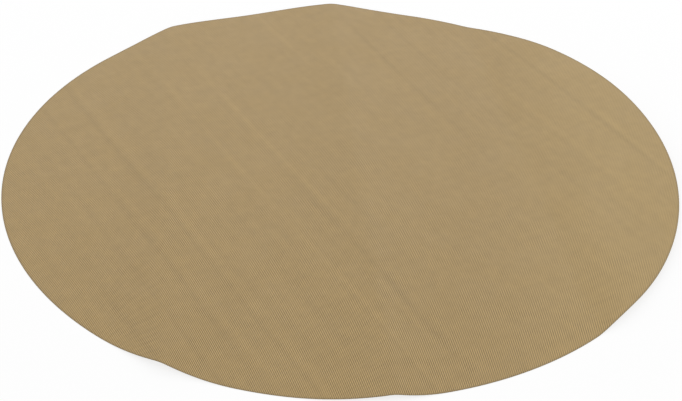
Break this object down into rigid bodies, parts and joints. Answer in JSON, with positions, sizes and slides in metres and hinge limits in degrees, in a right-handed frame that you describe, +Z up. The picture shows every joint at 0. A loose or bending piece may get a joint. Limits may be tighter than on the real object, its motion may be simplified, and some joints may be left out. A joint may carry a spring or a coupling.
{
  "type": "baking mat",
  "caption": "Thin round reusable baking mat of woven glass cloth with a non-stick coating on both faces, lying loose with soft parallel packing folds.",
  "frame": {"origin": "on the table, under the middle of the mat", "axes": "+X to the right in the picture, +Y away from the viewer, +Z up from the table"},
  "size_m": [0.26, 0.26, 0.0054],
  "materials": {
    "coating": "satin non-stick fluoropolymer film, tan, showing the weave below it",
    "cloth": "plain-woven glass yarn, seen only at the cut edge"
  },
  "bodies": {
    "root": {"bottom_coating": "coating", "glass_cloth": "cloth", "top_coating": "coating"}
  },
  "joints": []
}
